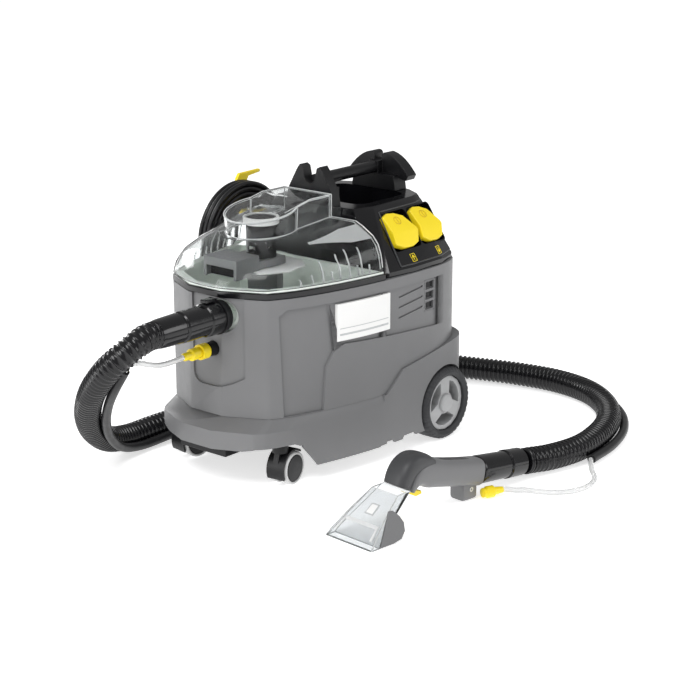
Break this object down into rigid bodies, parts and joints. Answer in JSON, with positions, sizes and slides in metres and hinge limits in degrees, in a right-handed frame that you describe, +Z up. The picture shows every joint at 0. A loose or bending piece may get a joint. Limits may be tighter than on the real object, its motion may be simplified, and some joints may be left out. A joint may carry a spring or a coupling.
{
  "type": "spot extractor",
  "caption": "Wheeled spray-extraction cleaner with a clear-lidded waste container, a ribbed suction hose, a hand nozzle and a mains cable on hooks.",
  "frame": {"origin": "on the floor, under the middle of the box round the machine and its hand tool, measured without the hose, the spray tubes and the mains cable", "axes": "+Z up; the machine's front, where the hose plugs in, faces -X; the switches and the hand tool are on the -Y side"},
  "size_m": [0.9169, 0.6845, 0.4383],
  "materials": {
    "grey_shell": "fine moulded grain",
    "black_gloss": "satin moulded",
    "black_matte": "moulded",
    "seal_rubber": "smooth",
    "signal_yellow": "moulded",
    "clear_plastic": "clear moulded plastic",
    "tank_plastic": "translucent moulded plastic",
    "white_plastic": "moulded",
    "hub_plastic": "moulded",
    "wheel_tread": "dark grey rubber tread",
    "caster_tread": "black disc with pale tread",
    "hose_plastic": "corrugated",
    "spray_tube": "clear flexible tube",
    "cable_sheath": "smooth sheath",
    "steel": "zinc plated"
  },
  "bodies": {
    "root": {"body_shell": "grey_shell", "chassis": "grey_shell", "tool_handle": "grey_shell", "spray_guard": "grey_shell", "valve_block": "grey_shell", "console": "black_gloss", "handle_bar": "black_gloss", "rear_horn": "black_gloss", "hose_cuff": "black_gloss", "tool_cuff": "black_gloss", "suction_inlet": "black_gloss", "base_pan": "black_matte", "vent_grille": "black_matte", "cable_hook_lower": "black_matte", "switch_block": "black_matte", "spray_socket": "black_matte", "tool_neck": "black_matte", "nozzle_base": "black_matte", "water_pump": "black_matte", "rim_seal": "seal_rubber", "spray_coupling": "signal_yellow", "tool_coupling": "signal_yellow", "nozzle_cover": "clear_plastic", "name_plate": "white_plastic", "water_filter": "white_plastic", "suction_hose": "hose_plastic", "tube_channel": "hose_plastic", "spray_tube_front": "spray_tube", "spray_tube_tool": "spray_tube", "cable_winding": "cable_sheath", "cable_lead": "cable_sheath", "cable_gland": "cable_sheath", "mains_plug": "cable_sheath", "suction_turbine": "steel", "rear_axle": "steel"},
    "wheel_near": {"tyre_near": "wheel_tread", "wheel_hub_near": "hub_plastic", "axle_cap_near": "hub_plastic"},
    "wheel_far": {"tyre_far": "wheel_tread", "wheel_hub_far": "hub_plastic", "axle_cap_far": "hub_plastic"},
    "caster_near": {"caster_hood_near": "black_matte"},
    "caster_near_left": {"caster_wheel_near_left": "caster_tread"},
    "caster_near_right": {"caster_wheel_near_right": "caster_tread"},
    "caster_far": {"caster_hood_far": "black_matte"},
    "caster_far_left": {"caster_wheel_far_left": "caster_tread"},
    "caster_far_right": {"caster_wheel_far_right": "caster_tread"},
    "container": {"waste_container": "tank_plastic", "suction_duct": "black_matte", "float_pot": "black_gloss", "pot_ring": "white_plastic"},
    "float": {"float_ball": "white_plastic"},
    "lid": {"container_lid": "clear_plastic"},
    "spray_rocker": {"rocker_spray": "signal_yellow"},
    "suction_rocker": {"rocker_suction": "signal_yellow"},
    "trigger": {"tool_trigger": "signal_yellow"},
    "hook": {"cable_hook_upper": "signal_yellow"},
    "latch": {"port_latch": "black_gloss"},
    "collar": {"coupling_collar": "signal_yellow"}
  },
  "joints": [
    {"name": "wheel_near_spin", "type": "hinge", "parent": "root", "child": "wheel_near", "pos_m": [0.2175, -0.04892, 0.0582], "axis": [0, 1, 0], "continuous": true},
    {"name": "wheel_far_spin", "type": "hinge", "parent": "root", "child": "wheel_far", "pos_m": [0.2175, 0.23508, 0.0582], "axis": [0, 1, 0], "continuous": true},
    {"name": "caster_near_swivel", "type": "hinge", "parent": "root", "child": "caster_near", "pos_m": [-0.1055, -0.00492, 0.07], "axis": [0, 0, 1], "continuous": true},
    {"name": "caster_near_left_spin", "type": "hinge", "parent": "caster_near", "child": "caster_near_left", "pos_m": [-0.09164, -0.00297, 0.0252], "axis": [-0.1392, 0.9903, 0], "continuous": true},
    {"name": "caster_near_right_spin", "type": "hinge", "parent": "caster_near", "child": "caster_near_right", "pos_m": [-0.09164, -0.00297, 0.0252], "axis": [-0.1392, 0.9903, 0], "continuous": true},
    {"name": "caster_far_swivel", "type": "hinge", "parent": "root", "child": "caster_far", "pos_m": [-0.1055, 0.19109, 0.07], "axis": [0, 0, 1], "continuous": true},
    {"name": "caster_far_left_spin", "type": "hinge", "parent": "caster_far", "child": "caster_far_left", "pos_m": [-0.09164, 0.18914, 0.0252], "axis": [0.1392, 0.9903, 0], "continuous": true},
    {"name": "caster_far_right_spin", "type": "hinge", "parent": "caster_far", "child": "caster_far_right", "pos_m": [-0.09164, 0.18914, 0.0252], "axis": [0.1392, 0.9903, 0], "continuous": true},
    {"name": "container_lift", "type": "slide", "parent": "root", "child": "container", "axis": [0, 0, 1], "range_m": [0, 0.2]},
    {"name": "lid_lift", "type": "slide", "parent": "container", "child": "lid", "axis": [0, 0, 1], "range_m": [0, 0.12]},
    {"name": "float_rise", "type": "slide", "parent": "container", "child": "float", "axis": [0, 0, 1], "range_m": [0, 0.018]},
    {"name": "spray_switch", "type": "hinge", "parent": "root", "child": "spray_rocker", "pos_m": [0.1525, -0.02082, 0.3408], "axis": [1, 0, 0], "range_deg": [-9, 0]},
    {"name": "suction_switch", "type": "hinge", "parent": "root", "child": "suction_rocker", "pos_m": [0.2155, -0.02082, 0.3408], "axis": [1, 0, 0], "range_deg": [-9, 0]},
    {"name": "trigger_pull", "type": "hinge", "parent": "root", "child": "trigger", "pos_m": [-0.08303, -0.2366, 0.042], "axis": [0.0899, 0.996, 0], "range_deg": [0, 7], "stiffness_Nm_per_rad": 0.25, "springref_deg": -5.73},
    {"name": "hook_turn", "type": "hinge", "parent": "root", "child": "hook", "pos_m": [0.1175, 0.26509, 0.337], "axis": [0, 1, 0], "range_deg": [-180, 0]},
    {"name": "latch_pull", "type": "slide", "parent": "root", "child": "latch", "axis": [-1, 0, 0], "range_m": [0, 0.004], "stiffness_N_per_m": 150, "springref_m": -0.003},
    {"name": "collar_pull", "type": "slide", "parent": "root", "child": "collar", "axis": [-1, 0, 0], "range_m": [0, 0.004], "stiffness_N_per_m": 150, "springref_m": -0.003}
  ]
}
